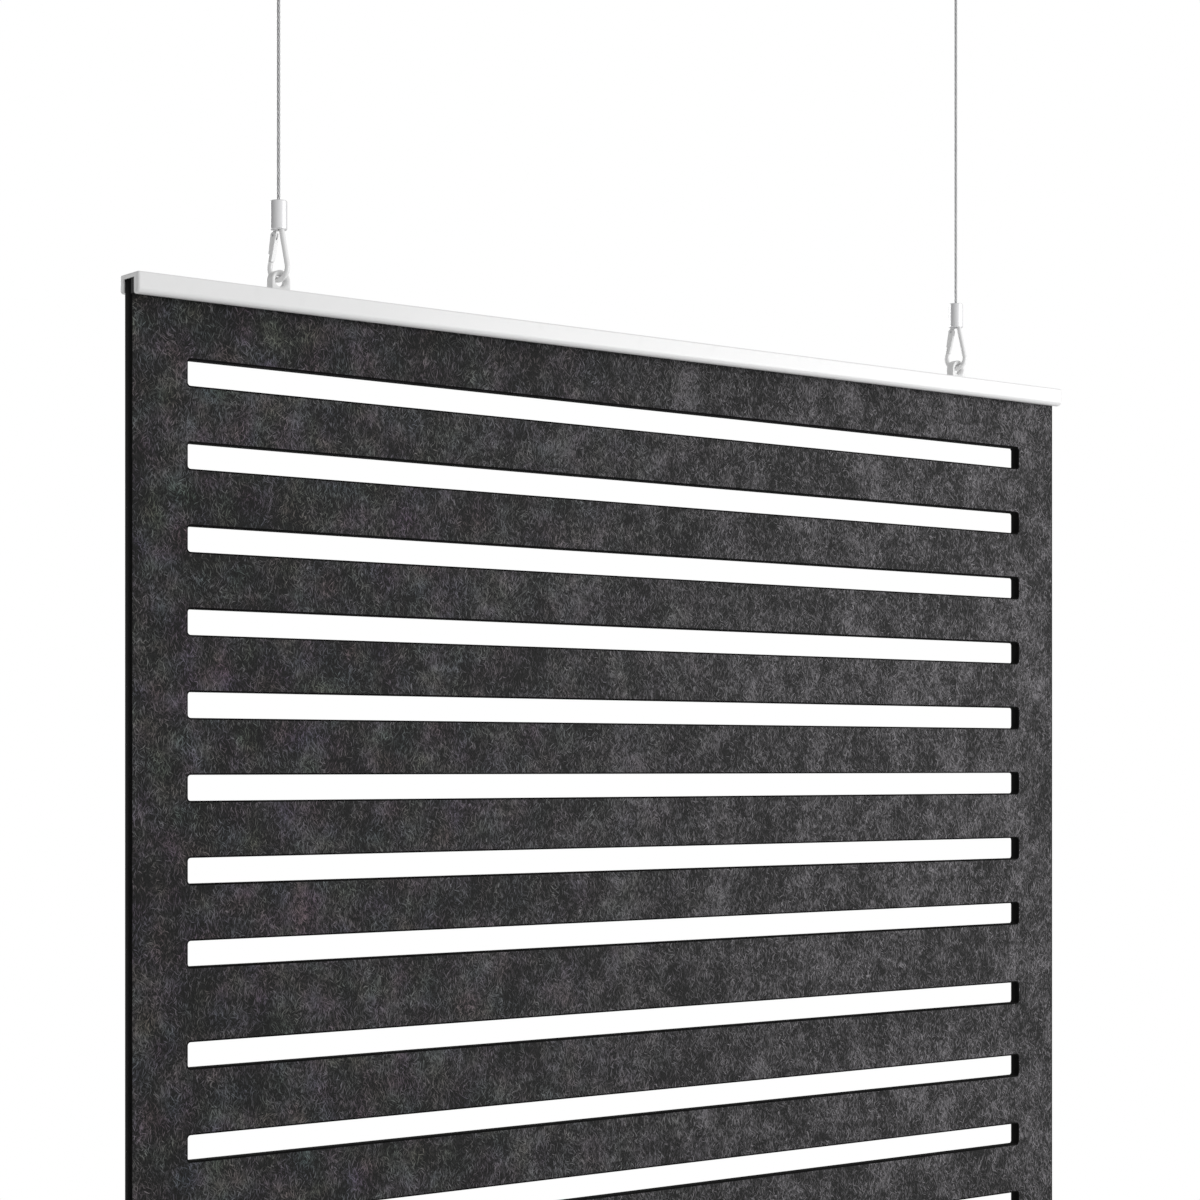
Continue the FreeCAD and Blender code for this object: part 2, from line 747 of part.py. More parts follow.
def nut_notches(body):
    """The notches in the top edge that clear the washers and nuts."""
    for side in SIDES.values():
        notch = rectangle(
            new_sketch(body, "XZ_Plane", across=f"{side} * rope_spacing / 2"),
            "-notch_width / 2", "notch_width / 2", "-notch_depth", "overrun",
        )
        pocket(body, notch, "panel_thickness + 2 * strip_thickness + overrun", both_sides=True)


def make_felt_panel():
    """The felt board with its long slots, its screw holes and its two notches."""
    body = new_body("felt_panel", y="hang_offset", z="-rail_drop - panel_drop")
    board = rectangle(
        new_sketch(body, "XZ_Plane"), "-panel_width / 2", "panel_width / 2", "-panel_height", "0",
    )
    pad(body, board, "panel_thickness", both_sides=True)
    middle = "top_band + upper_span + middle_step"
    rows = [
        ("top_band", "upper_slot_count", "upper_pitch"),
        (middle, "1", "middle_step"),
        (middle + " + lower_step", "lower_slot_count", "lower_pitch"),
    ]
    for top, count, pitch in rows:
        slot = rounded_rectangle(
            new_sketch(body, "XZ_Plane", up=f"-({top} + slot_height / 2)"),
            "slot_length", "slot_height", "slot_corner",
        )
        cut = pocket(body, slot, "panel_thickness + overrun", both_sides=True)
        if count != "1":
            row_of(body, [cut], "Z_Axis", count, pitch, reverse=True)
    screw_holes(body)
    nut_notches(body)


def make_packing_strip():
    """The rubber wedge strip that packs the felt against the rear flange."""
    body = new_body("packing_strip", z="-rail_drop - panel_drop")
    section = outline(new_sketch(body, "YZ_Plane"), [
        ("strip_rear", "0"),
        ("strip_front + strip_taper", "0"),
        ("strip_front", "-strip_height / 2"),
        ("strip_front", "-strip_height"),
        ("strip_rear", "-strip_height"),
    ])
    pad(body, section, "panel_width", both_sides=True)
    screw_holes(body)
    nut_notches(body)


def make_felt_screws():
    """The row of countersunk screws, put in from behind."""
    body = new_body(
        "felt_screws", x="-screw_span / 2", y="rear_outer", z="-rail_drop - screw_drop",
        turn=(Vector(1, 0, 0), "-90"),
    )
    shank = turned(body, [
        ("0", "0"),
        ("screw_head_radius", "0"),
        ("screw_radius", "screw_radius - screw_head_radius"),
        ("screw_radius", "-screw_length"),
        ("0", "-screw_length"),
    ])
    recess = pocket(body, hexagon(new_sketch(body, "XY_Plane"), "screw_socket_width"), "screw_socket_depth")
    row_of(body, [shank, recess], "X_Axis", "screw_count", "screw_pitch")


def save_nodes():
    """Check every object and write each body to its own file."""
    doc.recompute()
    for item in doc.Objects:
        if "Invalid" in item.State or "Error" in item.State:
            raise RuntimeError(f"{item.Name} is {item.State}")
    bodies = [item for item in doc.Objects if item.TypeId == "PartDesign::Body"]
    for body in bodies:
        if body.Shape.isNull() or not body.Shape.isValid():
            raise RuntimeError(f"{body.Label} has no valid shape")
    os.makedirs("parts", exist_ok=True)
    for body in bodies:
        body.Shape.exportStep(f"parts/{body.Label}.step")
        print(body.Label, len(body.Shape.Solids), round(body.Shape.Volume, 1))


fill_sheet()
for side in SIDES:
    make_ceiling_base(side)
    make_ceiling_cap(side)
    make_rope_stop(side)
    make_wire_rope(side)
    make_ferrule(side)
    make_hook_body(side)
    make_hook_gate(side)
    make_gate_pin(side)
    make_gate_spring(side)
    make_eye_lug(side)
make_lug_washers()
make_lug_nuts()
make_rail()
make_felt_panel()
make_packing_strip()
make_felt_screws()
save_nodes()
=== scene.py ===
"""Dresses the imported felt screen: heathered felt, white paint, bright wire rope and a pale studio."""

import math

import bmesh
import bpy
from bpy.props import FloatProperty, FloatVectorProperty, IntProperty, PointerProperty
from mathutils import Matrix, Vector


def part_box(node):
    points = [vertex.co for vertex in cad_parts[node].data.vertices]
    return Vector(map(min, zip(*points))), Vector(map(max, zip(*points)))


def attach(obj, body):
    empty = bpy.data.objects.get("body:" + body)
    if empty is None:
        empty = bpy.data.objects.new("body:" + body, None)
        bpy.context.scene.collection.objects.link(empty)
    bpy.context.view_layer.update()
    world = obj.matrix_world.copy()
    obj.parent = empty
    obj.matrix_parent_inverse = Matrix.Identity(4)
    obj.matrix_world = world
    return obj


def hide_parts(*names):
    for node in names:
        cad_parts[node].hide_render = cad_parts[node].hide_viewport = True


bl_info = {
    "name": "Hanging felt screen",
    "version": (1, 0, 0),
    "blender": (4, 5, 0),
    "location": "3D View > Sidebar > Felt Screen",
    "description": "Builds the looks of a slotted felt screen that hangs on two wire ropes",
    "category": "Object",
}

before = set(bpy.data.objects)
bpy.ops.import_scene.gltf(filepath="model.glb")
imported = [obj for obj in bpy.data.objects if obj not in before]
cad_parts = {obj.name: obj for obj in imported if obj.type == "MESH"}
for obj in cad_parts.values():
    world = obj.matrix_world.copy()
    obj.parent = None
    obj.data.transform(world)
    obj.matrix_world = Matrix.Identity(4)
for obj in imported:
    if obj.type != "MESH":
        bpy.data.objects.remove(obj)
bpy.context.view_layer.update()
# Where the two ropes hang along the screen
SIDES = {"left": -0.445, "right": 0.445}

# Strands side by side across a rope: one on each side of the core
STRANDS_ACROSS = 3
# Places in a coil of a gate spring at which its wire bends
SPRING_STEPS = 16

# How close two points of a mesh are to be joined, for new meshes and for the frame's
MERGE = 1e-7
FRAME_MERGE = 1e-6

# Leans of the fibre layers from upright, in degrees
FIBRE_LEANS = (-58, -30, -12, 4, 18, 42)
# Waves in a metre that bend the fibres, and how many times the fibre crook each wave bends them
FIBRE_BENDS = ((170, 1.0), (38, 4.0))
# Grains to a metre of the felt's mat, clouds, patches and tints
MAT_GRAINS = 480
CLOUD_GRAINS = 48
PATCH_GRAINS = 12
TINT_GRAINS = 30
PATCH_STRETCH = (1.3, 1, 0.75)
# From where to where along the board the fibres get paler with painted sheen towards the right, and the
# tints stronger towards the left, away from the painted sheen
PAINTED_SHEEN_SPAN = (-0.5, 0.7)
SHEEN_FADED_TINT_SPAN = (0.25, -0.55)
# The mean of a noise, and the power that deepens the gaps between fibres
MIDDLE = 0.5
SHADE_POWER = 1.7
# Shares of the pressed edge's reach and drop that its two bands take, from the face outwards
EDGE_SHARES = ((0.3, 1.0), (0.7, 0.3))

RUBBER_DARK = (0.012, 0.012, 0.012)
RUBBER_LIGHT = (0.03, 0.03, 0.031)
FLOOR_DARK = (0.80, 0.80, 0.80)
FLOOR_LIGHT = (0.86, 0.86, 0.86)
FLOOR_RADIUS = 6

# Each soft box's place, the point it faces, its width and its power in watts
LIGHTS = {
    "key": ((2.1, -2.2, -0.7), (0.1, 0, -1.0), 1.6, 40),
    "rear": ((-0.6, 4.0, -0.4), (0, 0, -1.1), 2.6, 75),
}


class Link:
    """A shader socket that takes part in Python arithmetic."""

    def __init__(self, finish, socket):
        self.finish = finish
        self.socket = socket

    def maths(self, operation, *values, clamp=False):
        """A Math node on this value and the others."""
        settings = {"operation": operation, "use_clamp": clamp}
        return self.finish.node("ShaderNodeMath", settings, dict(enumerate((self, *values))))

    def __add__(self, other):
        return self.maths("ADD", other)

    __radd__ = __add__

    def __sub__(self, other):
        return self.maths("SUBTRACT", other)

    def __rsub__(self, other):
        return self.finish.node("ShaderNodeMath", {"operation": "SUBTRACT"}, {0: other, 1: self})

    def __mul__(self, other):
        return self.maths("MULTIPLY", other)

    __rmul__ = __mul__

    def __truediv__(self, other):
        return self.maths("DIVIDE", other)

    def sine(self):
        """The sine of this value."""
        return self.maths("SINE")

    def ramp(self, low, high):
        """Zero below low, one above high, and a smooth rise between."""
        return self.finish.node(
            "ShaderNodeMapRange", {"interpolation_type": "SMOOTHSTEP"},
            {"Value": self, "From Min": low, "From Max": high},
        )


class Nodes:
    """The node tree of a material or world, cleared and then built from expressions."""

    def __init__(self, owner):
        owner.use_nodes = True
        self.owner = owner
        self.tree = owner.node_tree
        self.tree.nodes.clear()

    def put(self, socket, value):
        """Set a socket to a number or colour, or link it."""
        if isinstance(value, Link):
            self.tree.links.new(value.socket, socket)
        elif hasattr(value, "__len__") and len(value) == 3 and len(socket.default_value) == 4:
            socket.default_value = (*value, 1)
        else:
            socket.default_value = value

    def node(self, kind, settings=None, inputs=None, out=0):
        """Add a node with its settings, then its sockets, and give back one of its outputs."""
        node = self.tree.nodes.new(kind)
        for name, value in (settings or {}).items():
            setattr(node, name, value)
        for key, value in (inputs or {}).items():
            self.put(node.inputs[key], value)
        return Link(self, node.outputs[out]) if node.outputs else None

    def parts(self, vector):
        """The three numbers of a vector."""
        apart = self.tree.nodes.new("ShaderNodeSeparateXYZ")
        self.put(apart.inputs[0], vector)
        return [Link(self, socket) for socket in apart.outputs]


class Finish(Nodes):
    """One material, made from expressions on its sockets."""

    def __init__(self, name):
        super().__init__(bpy.data.materials.new(name))

    def place(self, centre=(0, 0, 0), scale=(1, 1, 1)):
        """Object coordinates, moved to a centre and scaled."""
        here = self.node("ShaderNodeTexCoord", out="Object")
        moved = self.node("ShaderNodeVectorMath", {"operation": "SUBTRACT"}, {0: here, 1: centre})
        return self.node("ShaderNodeMapping", {"vector_type": "POINT"}, {"Vector": moved, "Scale": scale})

    def noise(self, vector, scale, detail=2.0, roughness=0.5, out=0):
        """A Noise Texture's value, or its colour."""
        return self.node(
            "ShaderNodeTexNoise", None,
            {"Vector": vector, "Scale": scale, "Detail": detail, "Roughness": roughness}, out,
        )

    def cells(self, vector):
        """The distance to the nearest of many scattered points, and that point's own random value."""
        reach = self.node("ShaderNodeTexVoronoi", inputs={"Vector": vector, "Scale": 1})
        return reach, self.parts(Link(self, reach.socket.node.outputs["Color"]))[0]

    def mix(self, share, first, second, blend="MIX"):
        """One colour faded into another."""
        return self.node(
            "ShaderNodeMix", {"data_type": "RGBA", "blend_type": blend}, {0: share, 6: first, 7: second}, 2,
        )

    def bump(self, height, depth, strength):
        """A normal that makes a height of up to this depth, in metres."""
        inputs = {"Height": height, "Distance": depth, "Strength": strength}
        return self.node("ShaderNodeBump", inputs=inputs)

    def surface(self, **sockets):
        """Close the material with a principled shader."""
        shader = self.tree.nodes.new("ShaderNodeBsdfPrincipled")
        for name, value in sockets.items():
            self.put(shader.inputs[name.replace("_", " ")], value)
        output = self.tree.nodes.new("ShaderNodeOutputMaterial")
        self.tree.links.new(shader.outputs[0], output.inputs[0])
        return self.owner


def scaled(colour, share):
    """A colour with its brightness times a share."""
    return [part * share for part in colour]


def dress(name, material):
    """Give a CAD node its material."""
    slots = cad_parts[name].data.materials
    slots.clear()
    slots.append(material)


def finished(name, mesh, body, materials, replaced):
    """Turn a bmesh into a piece that rides on a body and stands for CAD nodes."""
    bmesh.ops.remove_doubles(mesh, verts=mesh.verts, dist=MERGE)
    bmesh.ops.recalc_face_normals(mesh, faces=mesh.faces)
    data = bpy.data.meshes.new(name)
    mesh.to_mesh(data)
    mesh.free()
    for material in materials:
        data.materials.append(material)
    piece = bpy.data.objects.new(name, data)
    bpy.context.scene.collection.objects.link(piece)
    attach(piece, body)
    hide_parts(*replaced)
    return piece


def felt_finish(look):
    """Heathered felt: short crooked fibres, pale and dark, that cross a cloudy mat at many leans."""
    felt = Finish("charcoal_heather_felt")
    flat = felt.place()
    bent = flat
    for waves, share in FIBRE_BENDS:
        bent = felt.node(
            "ShaderNodeVectorMath", {"operation": "MULTIPLY_ADD"},
            {0: felt.noise(flat, waves, detail=1, out=1), 1: (look.fibre_crook * share,) * 3, 2: bent},
        )
    mat = felt.noise(flat, MAT_GRAINS, detail=3, roughness=0.75).ramp(low=0.3, high=0.75) * look.mat_share
    for number, lean in enumerate(FIBRE_LEANS):
        lie = felt.node(
            "ShaderNodeMapping", {"vector_type": "TEXTURE"},
            {"Vector": bent, "Location": (number,) * 3, "Rotation": (0, math.radians(lean), 0),
             "Scale": (look.fibre_width, look.fibre_length, look.fibre_length)},
        )
        reach, shade = felt.cells(lie)
        fibre = (1 - reach / look.fibre_share).ramp(low=0, high=0.6) * shade
        mat = fibre.maths("MAXIMUM", mat)
    specks = felt.noise(flat, look.speck_count, detail=1) - MIDDLE
    clouds = felt.noise(flat, CLOUD_GRAINS, detail=3, roughness=0.6) - MIDDLE
    patches = felt.noise(felt.place(scale=PATCH_STRETCH), PATCH_GRAINS) - MIDDLE
    soft = clouds * look.clouds + patches * look.patches
    light = (mat - MIDDLE) * look.contrast + specks * look.specks + soft + look.tone
    # Painted sheen: the palest fibre colour brightens towards the right and the tint fades there, standing
    # in for light glancing off the felt
    across = felt.parts(flat)[0]
    pale = scaled(look.felt_light, 1 + look.paler)
    fibres = felt.mix(across.ramp(*PAINTED_SHEEN_SPAN), look.felt_light, pale)
    colour = felt.mix(light.maths("POWER", SHADE_POWER, clamp=True), look.felt_dark, fibres)
    tint = felt.noise(flat, TINT_GRAINS, detail=1, out=1)
    colour = felt.mix(across.ramp(*SHEEN_FADED_TINT_SPAN) * look.tint, colour, tint, blend="OVERLAY")
    return felt.surface(
        Base_Color=colour, Roughness=0.62 - mat * 0.1, Normal=felt.bump(mat, depth=0.0006, strength=0.9),
        Specular_IOR_Level=0.22, Sheen_Weight=0.15, Sheen_Roughness=0.3,
    )


def shaded_cut_felt_finish(look):
    """The cut edge of the felt: pressed layers, with painted shade making it darker than the faces."""
    felt = Finish("charcoal_cut_edge")
    flat = felt.place()
    layers = felt.noise(felt.place(scale=(60, 1100, 60)), 1, detail=3, roughness=0.6)
    tufts = felt.noise(flat, 1400)
    share = layers.ramp(low=0.35, high=0.75) * 0.5 + tufts * 0.2
    # Painted shade: the cut edge and the pressed rims round the cuts are coloured far darker than the
    # faces; the layers and tufts are the felt's own
    return felt.surface(
        Base_Color=felt.mix(share, look.edge_dark, look.edge_light), Roughness=0.97 - tufts * 0.05,
        Normal=felt.bump(layers + tufts, depth=0.0004, strength=0.7), Specular_IOR_Level=0.1,
    )


def paint_finish(name, colour, roughness, peel, wear):
    """White paint with a faint orange peel, soft roughness changes and handling marks."""
    paint = Finish(name)
    flat = paint.place()
    skin = paint.noise(flat, peel)
    marks = paint.noise(flat, 45, detail=4, roughness=0.65).ramp(low=0.55, high=0.8)
    tone = paint.mix(marks * wear, colour, scaled(colour, 0.93))
    return paint.surface(
        Base_Color=tone, Roughness=roughness + marks * 0.08,
        Normal=paint.bump(skin, depth=0.00004, strength=0.35),
        Coat_Weight=0.25, Coat_Roughness=0.12, IOR=1.5,
    )


def metal_finish(name, colour, roughness, grain):
    """Bare metal with a fine grain that dulls it."""
    metal = Finish(name)
    specks = metal.noise(metal.place(scale=(grain,) * 3), 1, roughness=0.6)
    cloud = metal.noise(metal.place(), 120)
    return metal.surface(
        Base_Color=metal.mix(cloud * 0.5, colour, scaled(colour, 0.86)), Metallic=1.0,
        Roughness=roughness + specks * 0.12 + cloud * 0.05,
        Normal=metal.bump(specks, depth=0.00002, strength=0.4),
    )


def wire_finish(name, foot, look):
    """Bright strands with painted shade darkening the grooves between them, and fine wires along each
    strand with fainter painted shade between the wires.
    """
    metal = Finish(name)
    x, y, z = metal.parts(metal.place(foot))
    angle = y.maths("ARCTAN2", x)
    groove_shade_mask = ((angle - z * (math.tau / look.lay)) * look.strands + math.pi / 2).sine() * 0.5 + 0.5
    wires = (angle * look.wires_round + z * look.wire_slant).sine() * 0.5 + 0.5
    dirt = metal.noise(metal.place(foot), 260, detail=3)
    # Painted shade: the colour darkens into the grooves between strands and, faintly, between the wires;
    # the noise is real dirt
    tone = metal.mix(groove_shade_mask * 0.75 + wires * 0.15 + dirt * 0.15, look.rope_shade, look.rope_light)
    return metal.surface(
        Base_Color=tone, Metallic=0.85, Roughness=0.42 - wires * 0.12 + dirt * 0.1,
        Normal=metal.bump(wires, depth=0.00006, strength=0.8),
    )


def ferrule_finish(name, colour, centre):
    """Satin aluminium, smooth but for faint marks of the crimping tool."""
    metal = Finish(name)
    cloud = metal.noise(metal.place(centre), 150, detail=3, roughness=0.6)
    marks = metal.noise(metal.place(centre, scale=(40, 40, 900)), 1)
    return metal.surface(
        Base_Color=metal.mix(cloud * 0.4, colour, scaled(colour, 0.9)), Metallic=0.65,
        Roughness=0.34 + cloud * 0.06, Normal=metal.bump(marks, depth=0.00001, strength=0.3),
    )


def rubber_finish():
    """Matt black rubber with a fine grain."""
    rubber = Finish("black_rubber")
    grain = rubber.noise(rubber.place(), 1500)
    tone = rubber.mix(grain * 0.4, RUBBER_DARK, RUBBER_LIGHT)
    return rubber.surface(
        Base_Color=tone, Roughness=0.7 + grain * 0.15,
        Normal=rubber.bump(grain, depth=0.0001, strength=0.5),
    )


def curve_mesh(data, points, order):
    """The mesh of one NURBS spline through a curve's settings."""
    data.dimensions = "3D"
    spline = data.splines.new("NURBS")
    spline.points.add(len(points) - 1)
    for point, place in zip(spline.points, points):
        point.co = (*place, 1)
    spline.order_u = order
    spline.use_endpoint_u = True
    holder = bpy.data.objects.new(data.name, data)
    bpy.context.scene.collection.objects.link(holder)
    bpy.context.view_layer.update()
    mesh = bpy.data.meshes.new_from_object(holder)
    bpy.data.objects.remove(holder)
    return mesh


def line_of(route, steps):
    """Points along the smooth curve that a route's points control."""
    data = bpy.data.curves.new("rope_line", "CURVE")
    data.resolution_u = steps
    return [vert.co.copy() for vert in curve_mesh(data, route, 3).vertices]


def wire(points, radius):
    """A round wire with closed ends through points."""
    data = bpy.data.curves.new("wire", "CURVE")
    data.bevel_depth = radius
    data.bevel_resolution = 2
    data.use_fill_caps = True
    data.resolution_u = 1
    return curve_mesh(data, points, 2)


def winding(line, arm, lay, start=0.0):
    """Points that wind round an upright line, starting at a share of a turn."""
    wound = []
    for point in line:
        turn = math.tau * ((point - line[0]).length / lay + start)
        wound.append(point + arm * Vector((math.cos(turn), math.sin(turn), 0)))
    return wound


class FeltLook(bpy.types.PropertyGroup):
    """Sizes and colours of the felt."""

    fibre_width: FloatProperty(
        name="Fibre width", description="Spacing of the fibres across their run", default=0.00115,
        unit="LENGTH",
    )
    fibre_length: FloatProperty(
        name="Fibre length", description="Spacing of the fibres along their run", default=0.0098,
        unit="LENGTH",
    )
    fibre_share: FloatProperty(
        name="Fibre share", description="How much of its spacing a fibre fills", default=0.45,
        subtype="FACTOR", min=0.01, max=1,
    )
    fibre_crook: FloatProperty(
        name="Fibre crook", description="How far the fibres bend from straight", default=0.0035,
        unit="LENGTH",
    )
    mat_share: FloatProperty(
        name="Mat share", description="How light the mat under the fibres is next to them", default=0.6,
        subtype="FACTOR", min=0, max=1,
    )
    felt_dark: FloatVectorProperty(
        name="Felt dark", description="Colour between the fibres", subtype="COLOR",
        default=(0.002, 0.002, 0.002), min=0, max=1,
    )
    felt_light: FloatVectorProperty(
        name="Felt light", description="Colour of the palest fibres", subtype="COLOR",
        default=(0.130, 0.124, 0.132), min=0, max=1,
    )
    # Painted shade: the cut edge's colours are far darker than the felt faces
    edge_dark: FloatVectorProperty(
        name="Edge dark", description="Darkest colour of the cut edge", subtype="COLOR",
        default=(0.001, 0.001, 0.001), min=0, max=1,
    )
    edge_light: FloatVectorProperty(
        name="Edge light", description="Lightest colour of the cut edge", subtype="COLOR",
        default=(0.010, 0.010, 0.010), min=0, max=1,
    )
    tone: FloatProperty(
        name="Tone", description="How light the heather is between its extremes", default=0.425,
    )
    contrast: FloatProperty(
        name="Contrast", description="How much the fibres differ in tone", default=1.35,
    )
    specks: FloatProperty(name="Specks", description="How strongly the finest grain shows", default=0.45)
    speck_count: FloatProperty(name="Speck count", description="Specks of grain in a metre", default=1150)
    clouds: FloatProperty(name="Clouds", description="How strongly finger-wide clouds show", default=1.3)
    patches: FloatProperty(name="Patches", description="How strongly hand-wide patches show", default=0.9)
    tint: FloatProperty(
        name="Tint", description="Strength of the faint colours in the heather", default=0.34,
        subtype="FACTOR", min=0, max=1,
    )
    # Painted sheen: how much paler the heather is painted towards the right, standing in for light glancing
    # off the felt
    paler: FloatProperty(
        name="Paler", description="How much paler the heather gets towards the right", default=0.75,
    )
    edge_reach: FloatProperty(
        name="Edge reach", description="How far in from a cut the pressed edge shows", default=0.0015,
        unit="LENGTH",
    )
    edge_drop: FloatProperty(
        name="Edge drop", description="How far the pressed edge rounds off", default=0.0007,
        unit="LENGTH",
    )


class MetalLook(bpy.types.PropertyGroup):
    """Colours of the painted and bare metal."""

    paint: FloatVectorProperty(
        name="Paint", description="White powder coat of the rail, the lugs and the ceiling fittings",
        subtype="COLOR", default=(0.80, 0.80, 0.80), min=0, max=1,
    )
    enamel: FloatVectorProperty(
        name="Enamel", description="Glossy white of the snap hooks", subtype="COLOR",
        default=(0.87, 0.87, 0.87), min=0, max=1,
    )
    aluminium: FloatVectorProperty(
        name="Aluminium", description="Satin ferrules", subtype="COLOR", default=(0.88, 0.88, 0.89),
        min=0, max=1,
    )
    zinc: FloatVectorProperty(
        name="Zinc", description="Screws, washers, nuts, pins, springs and ball stops",
        subtype="COLOR", default=(0.62, 0.62, 0.65), min=0, max=1,
    )
    spring_wire: FloatProperty(
        name="Spring wire", description="Thickness of the gate springs' wire", default=0.00035,
        unit="LENGTH",
    )
    spring_turns: IntProperty(name="Spring turns", description="Coils of a gate spring", default=8, min=2)


class RopeLook(bpy.types.PropertyGroup):
    """Make-up of the wire rope."""

    diameter: FloatProperty(
        name="Diameter", description="Outside diameter of the rope", default=0.0032, unit="LENGTH",
    )
    strands: IntProperty(name="Strands", description="Outer strands round the core", default=6, min=3)
    lay: FloatProperty(
        name="Lay", description="Length in which a strand goes once round", default=0.032, unit="LENGTH",
    )
    steps: IntProperty(
        name="Steps", description="Places along the rope at which its strands are laid", default=220,
    )
    wires_round: IntProperty(
        name="Wires round", description="Wires seen side by side round the rope", default=36,
    )
    wire_slant: FloatProperty(
        name="Wire slant", description="How fast the wires turn against the strands", default=300,
    )
    # Painted shade in the grooves between the strands and between the wires
    rope_shade: FloatVectorProperty(
        name="Rope shade", description="Colour between the wires", subtype="COLOR",
        default=(0.05, 0.05, 0.055), min=0, max=1,
    )
    rope_light: FloatVectorProperty(
        name="Rope light", description="Colour of the wires", subtype="COLOR",
        default=(0.92, 0.92, 0.93), min=0, max=1,
    )


class StudioLook(bpy.types.PropertyGroup):
    """Camera, light and floor."""

    eye: FloatVectorProperty(
        name="Camera place", description="Where the camera stands", subtype="XYZ",
        default=(-1.7231, -2.1175, -0.9182),
    )
    heading: FloatProperty(
        name="Heading", description="How far the camera looks to the right of straight ahead",
        default=math.radians(38.03), subtype="ANGLE",
    )
    lens: FloatProperty(name="Lens", description="Focal length in millimetres", default=79.51)
    lift: FloatProperty(name="Lift", description="Vertical shift of the lens", default=0.1381)
    sky: FloatProperty(name="Sky", description="Mean brightness of the studio", default=0.52)
    sky_front: FloatProperty(
        name="Sky front", description="How much brighter the studio is in front", default=0.32,
    )
    sky_right: FloatProperty(
        name="Sky right", description="How much brighter the studio is on the right", default=0.16,
    )
    sky_top: FloatProperty(
        name="Sky top", description="How much brighter the studio is overhead", default=0.04,
    )
    floor_drop: FloatProperty(
        name="Floor drop", description="Height from the floor to the ceiling", default=2.42, unit="LENGTH",
    )


class FELTSCREEN_OT_stage(bpy.types.Operator):
    """Set up the camera, the lights and the floor."""

    bl_idname = "feltscreen.stage"
    bl_label = "Stage"

    def execute(self, context):
        look = context.scene.studio_look
        data = bpy.data.cameras.new("camera")
        data.lens = look.lens
        data.sensor_width = 36
        data.shift_y = look.lift
        data.clip_start = 0.05
        camera = bpy.data.objects.new("camera", data)
        camera.location = look.eye
        camera.rotation_euler = (math.pi / 2, 0, -look.heading)
        context.scene.collection.objects.link(camera)
        context.scene.camera = camera
        for name, light in LIGHTS.items():
            self.light(name, *light)
        self.sky(context.scene, look)
        self.floor(context.scene, look.floor_drop)
        context.scene.view_settings.view_transform = "Standard"
        return {"FINISHED"}

    def light(self, name, spot, target, size, power):
        """One square soft box that faces a target."""
        data = bpy.data.lights.new(name, "AREA")
        data.size = size
        data.energy = power
        lamp = bpy.data.objects.new(name, data)
        lamp.location = spot
        lamp.visible_camera = False
        lamp.rotation_euler = (Vector(target) - Vector(spot)).to_track_quat("-Z", "Y").to_euler()
        bpy.context.scene.collection.objects.link(lamp)

    def sky(self, scene, look):
        """A white studio, brightest in front, that the camera sees as plain white."""
        sky = Nodes(bpy.data.worlds.new("studio"))
        x, y, z = sky.parts(sky.node("ShaderNodeTexCoord", out="Generated"))
        glow = x * look.sky_right + y * -look.sky_front + z * look.sky_top + look.sky
        seen = sky.node("ShaderNodeLightPath", out="Is Camera Ray")
        strength = seen + (1 - seen) * glow
        light = sky.node("ShaderNodeBackground", inputs={"Strength": strength, "Color": (1, 1, 1)})
        sky.node("ShaderNodeOutputWorld", inputs={"Surface": light})
        scene.world = sky.owner

    def floor(self, scene, drop):
        """A round pale floor under the screen."""
        mesh = bmesh.new()
        bmesh.ops.create_circle(mesh, cap_ends=True, segments=96, radius=FLOOR_RADIUS)
        bmesh.ops.translate(mesh, verts=mesh.verts, vec=(0, 0, -drop))
        data = bpy.data.meshes.new("floor")
        mesh.to_mesh(data)
        mesh.free()
        pale = Finish("pale_floor")
        cloud = pale.noise(pale.place(), 3, detail=3)
        data.materials.append(
            pale.surface(Base_Color=pale.mix(cloud, FLOOR_DARK, FLOOR_LIGHT), Roughness=0.85)
        )
        floor = bpy.data.objects.new("floor", data)
        scene.collection.objects.link(floor)


class FELTSCREEN_OT_ropes(bpy.types.Operator):
    """Lay up the strands of both wire ropes."""

    bl_idname = "feltscreen.ropes"
    bl_label = "Wire ropes"

    def execute(self, context):
        look = context.scene.rope_look
        radius = look.diameter / (2 * STRANDS_ACROSS)
        for side, x in SIDES.items():
            route = [(x, 0, -0.3979), (x, 0, -0.20795), (x, 0, -0.018)]
            line = line_of(route, look.steps)
            mesh = bmesh.new()
            mesh.from_mesh(wire(line, radius))
            for strand in range(look.strands):
                wound = winding(line, 2 * radius, look.lay, strand / look.strands)
                mesh.from_mesh(wire(wound, radius))
            rope = finished(
                f"wire_rope_{side}_strands", mesh, f"{side}_rope",
                [wire_finish(f"bright_wire_{side}", route[0], look)], [f"wire_rope_{side}"],
            )
        return {"FINISHED"}


